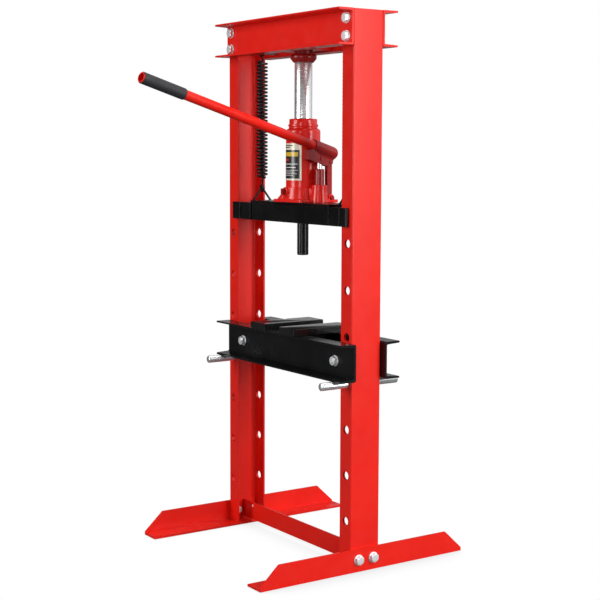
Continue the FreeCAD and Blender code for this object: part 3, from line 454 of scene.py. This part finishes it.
def spring(node):
    """An extension spring: a hook at each end, the end coils bent to the middle, open coils between."""
    low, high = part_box(node)
    x, y = (low[0] + high[0]) / 2, (low[1] + high[1]) / 2
    bottom, top = low[2] + WIRE + LOOP, high[2] - WIRE - LOOP
    path = hook(x, y, bottom, -1)
    path.append(Vector((x, y, bottom + LOOP + 0.002)))
    path.append(Vector((x + 0.001, y, COIL_BOTTOM - 0.004)))
    steps = COIL_TURNS * TURN_STEPS
    for k in range(steps + 1):
        share = k / steps
        turn = 2 * math.pi * COIL_TURNS * share
        r = COIL * (0.35 + 0.65 * min(1, k / NARROW_STEPS, (steps - k) / NARROW_STEPS))
        height = COIL_BOTTOM + (COIL_TOP - COIL_BOTTOM) * share
        path.append(Vector((x + r * math.cos(turn), y + r * math.sin(turn), height)))
    path.append(Vector((x + 0.001, y, COIL_TOP + 0.004)))
    path.append(Vector((x, y, top - LOOP - 0.002)))
    path += reversed(hook(x, y, top, 1))
    mesh = bmesh.new()
    sweep(mesh, path, WIRE, 10)
    obj = new_object(node + "_wire", mesh, node, angle=60)
    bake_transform(obj)
    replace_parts(obj, node)


# ---- jack -----------------------------------------------------------------------------------

AXIS = Vector(((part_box("jack_ram")[0][0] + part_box("jack_ram")[1][0]) / 2, 0, 0))
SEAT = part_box("jack_plate")[1][2]
# the label's outer radius in metres, its azimuths in degrees, and how far its prints stand off it
FILM_RADIUS = 0.0410
FILM_LEFT = -172
FILM_RIGHT = -39
FIELD_LIFT = 0.00012
PRINT_LIFT = 0.00020


def cast(node):
    """A casting: the CAD shape with its inside and outside corners softened."""
    obj = piece(node + "_cast", welded(node), node, angle=180)
    remesh = obj.modifiers.new("skin", "REMESH")
    remesh.mode = "VOXEL"
    remesh.voxel_size = 0.0008
    remesh.use_smooth_shade = True
    soft = obj.modifiers.new("soft", "CORRECTIVE_SMOOTH")
    soft.iterations = 3
    soft.smooth_type = "LENGTH_WEIGHTED"
    soft.use_only_smooth = True
    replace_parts(obj, node)


def patch(name, look, lift, low, high, left, right):
    """A thin printed patch on the label between two heights and two azimuths, lifted a little off it."""
    mesh = bmesh.new()
    count = max(2, int((right - left) / 2) + 1)
    radius = FILM_RADIUS + lift
    inner = radius - 0.0001
    columns = []
    for k in range(count + 1):
        turn = math.radians(left + (right - left) * k / count)
        direction = Vector((math.cos(turn), math.sin(turn), 0))
        section = ((inner, low), (radius, low), (radius, high), (inner, high))
        columns.append([mesh.verts.new(AXIS + direction * r + Vector((0, 0, SEAT + h))) for r, h in section])
    for one, two in zip(columns, columns[1:]):
        for i in range(4):
            j = (i + 1) % 4
            mesh.faces.new((one[i], one[j], two[j], two[i]))
    mesh.faces.new(columns[0])
    mesh.faces.new(columns[-1])
    piece(name, mesh, "jack_label", look)


def label():
    """A generic plate: a cream ground and a dark field with coloured bars and rules in place of wording."""
    low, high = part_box("jack_label")[0][2] - SEAT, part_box("jack_label")[1][2] - SEAT
    left, right = FILM_LEFT + 8, FILM_RIGHT
    dark = enamel("label_dark", (0.012, 0.012, 0.013), (0.016, 0.016, 0.017), 0.3, 0.4, 0.03)
    yellow = enamel("label_yellow", (0.75, 0.50, 0.03), (0.72, 0.47, 0.03), 0.3, 0.4, 0.03)
    red = enamel("label_red", (0.55, 0.03, 0.02), (0.50, 0.03, 0.02), 0.3, 0.4, 0.03)
    white = enamel("label_white", (0.80, 0.79, 0.76), (0.77, 0.76, 0.73), 0.3, 0.4, 0.03)
    refined("jack_label", 0, angle=40)
    top = high - 0.0155
    patch("label_field", dark, FIELD_LIFT, low + 0.004, top, FILM_LEFT + 3, right - 6)
    patch("label_bar", yellow, PRINT_LIFT, top - 0.0150, top - 0.0050, left, right - 12)
    patch("label_caution", red, PRINT_LIFT, top - 0.0260, top - 0.0200, left, right - 50)
    # the plain rules: how far below the top, how thick, and how many degrees short of the right edge
    rules = ((0.0320, 0.0018, 14), (0.0400, 0.0018, 20), (0.0470, 0.0010, 12),
             (0.0510, 0.0010, 24), (0.0550, 0.0010, 16), (0.0590, 0.0010, 30))
    for k, (drop, thick, short) in enumerate(rules):
        patch(f"label_rule_{k}", white, PRINT_LIFT, top - drop - thick, top - drop, left, right - short)
    for k, (drop, short) in enumerate(((0.0040, 30), (0.0085, 44))):
        patch(f"label_head_{k}", dark, PRINT_LIFT, high - drop - 0.0022, high - drop, left, right - short)


# ---- put the model together -----------------------------------------------------------------


for node in ("left_column", "right_column", "left_foot", "right_foot", "crown_front_channel",
             "crown_rear_channel", "bed_front_channel", "bed_rear_channel", "cross_brace", "crown_bolster"):
    refined(node, 0.0007)
for node in ("carriage_front_bar", "carriage_rear_bar", "carriage_face_strips", "guide_tubes", "jack_plate",
             "ram_plate"):
    refined(node, 0.0010)
for node in ("left_arbor_plate", "right_arbor_plate"):
    refined(node, 0.0006)
for node in ("handle_socket", "pump_link"):
    refined(node, 0.0007)
for node in ("ram_seat", "press_ram", "jack_ram", "jack_reservoir", "jack_gland_nut", "ram_wiper",
             "pump_cylinder", "pump_plunger", "handle_tube", "left_bed_pin", "right_bed_pin", "spring_bails",
             "spring_hangers", "bed_spacers", "link_base_pin", "plunger_pin", "link_top_pin", "release_valve",
             "filler_plug"):
    refined(node, 0.0003)
for node in ("crown", "foot", "bed"):
    bolts(node + "_bolts")
    nuts(node + "_nuts")
    washers(node + "_washers")
for node in ("left_spring", "right_spring"):
    spring(node)
cast("jack_base")
label()
refined("handle_grip", 0.0006)


# ---- stage ----------------------------------------------------------------------------------

ROOM_BRIGHT_SIDE = (0.70, 0.68, 0.22)
ROOM_LEVELS = (0.05, 0.85)
# each softbox: name, place, what it points at, width and height, power
SOFTBOXES = (
    ("key", (3.4, 0.8, 1.7), (0, 0, 0.8), (1.8, 2.8), 112),
    ("front", (-0.9, -3.4, 1.7), (0, 0, 0.8), (1.4, 2.8), 86),
    ("back", (-3.3, 2.3, 1.1), (0, 0, 0.8), (1.8, 1.2), 3),
    ("top", (0, 0.2, 3.4), (0, 0, 0), (1.6, 1.6), 40),
    ("strip", (2.2, -3.2, 1.0), (0, 0, 0.8), (0.35, 1.8), 22),
)


def softbox(name, place, target, size, power):
    """A rectangular area light that points at a target and stays out of the camera's sight."""
    light = bpy.data.lights.new(name, "AREA")
    light.shape = "RECTANGLE"
    light.size, light.size_y = size
    light.energy = power
    lamp = bpy.data.objects.new(name, light)
    lamp.location = place
    lamp.visible_camera = False
    aim = Vector(target) - Vector(place)
    lamp.rotation_euler = aim.to_track_quat("-Z", "Y").to_euler()
    scene.collection.objects.link(lamp)


def studio_floor():
    """A floor that the camera sees as pale, with soft contact shadows, and that looks dark to reflections."""
    bpy.ops.mesh.primitive_plane_add(size=60, location=(0, 0, -0.0005))
    floor = bpy.context.active_object
    floor.name = "studio_floor"
    look = Look("studio_floor", roughness=0.9, specular=0.1)
    look.colour(look.mix(look.noise(3, 2), (0.13, 0.13, 0.13), (0.11, 0.11, 0.11)))
    near = look.add("ShaderNodeAmbientOcclusion")
    near.inputs["Distance"].default_value = 0.10
    glow = look.add("ShaderNodeEmission")
    look.link(look.spread(near.outputs["AO"], 0.2, 0.9, 0.72, 1.0), glow.inputs["Strength"])
    rays = look.add("ShaderNodeLightPath")
    both = look.add("ShaderNodeMixShader")
    look.link(rays.outputs["Is Camera Ray"], both.inputs["Fac"])
    look.link(look.shader.outputs["BSDF"], both.inputs[1])
    look.link(glow.outputs["Emission"], both.inputs[2])
    look.link(both.outputs["Shader"], look.tree.nodes["Material Output"].inputs["Surface"])
    floor.data.materials.append(look.material)


def studio_room():
    """A room dark to the front and left and pale to the rear and right; the camera sees plain white."""
    world = bpy.data.worlds.new("studio")
    scene.world = world
    world.use_nodes = True
    tree = world.node_tree
    back = tree.nodes["Background"]
    back.inputs["Color"].default_value = (1, 1, 1, 1)
    place = tree.nodes.new("ShaderNodeTexCoord")
    slope = tree.nodes.new("ShaderNodeVectorMath")
    slope.operation = "DOT_PRODUCT"
    slope.inputs[1].default_value = ROOM_BRIGHT_SIDE
    room = tree.nodes.new("ShaderNodeMapRange")
    room.inputs["From Min"].default_value = 0.0
    room.inputs["From Max"].default_value = 0.9
    room.inputs["To Min"].default_value = ROOM_LEVELS[0]
    room.inputs["To Max"].default_value = ROOM_LEVELS[1]
    rays = tree.nodes.new("ShaderNodeLightPath")
    level = tree.nodes.new("ShaderNodeMix")
    level.inputs["B"].default_value = 1.0
    tree.links.new(place.outputs["Generated"], slope.inputs[0])
    tree.links.new(slope.outputs["Value"], room.inputs["Value"])
    tree.links.new(room.outputs["Result"], level.inputs["A"])
    tree.links.new(rays.outputs["Is Camera Ray"], level.inputs["Factor"])
    tree.links.new(level.outputs["Result"], back.inputs["Strength"])


def camera():
    """A long lens a little above the middle, to the front and right of the press."""
    data = bpy.data.cameras.new("camera")
    data.lens = 80.94
    data.sensor_width = 36
    data.shift_y = -0.0233
    data.clip_end = 60
    obj = bpy.data.objects.new("camera", data)
    turn = Matrix.Rotation(math.radians(55.89), 4, "Z")
    dip = Matrix.Rotation(math.radians(90 - 5.63), 4, "X")
    roll = Matrix.Rotation(math.radians(0.2), 4, "Z")
    obj.matrix_world = Matrix.Translation((2.6616, -1.8046, 0.9454)) @ turn @ dip @ roll
    scene.collection.objects.link(obj)
    scene.camera = obj


studio_floor()
studio_room()
for lamp in SOFTBOXES:
    softbox(*lamp)
camera()
scene.view_settings.view_transform = "Standard"
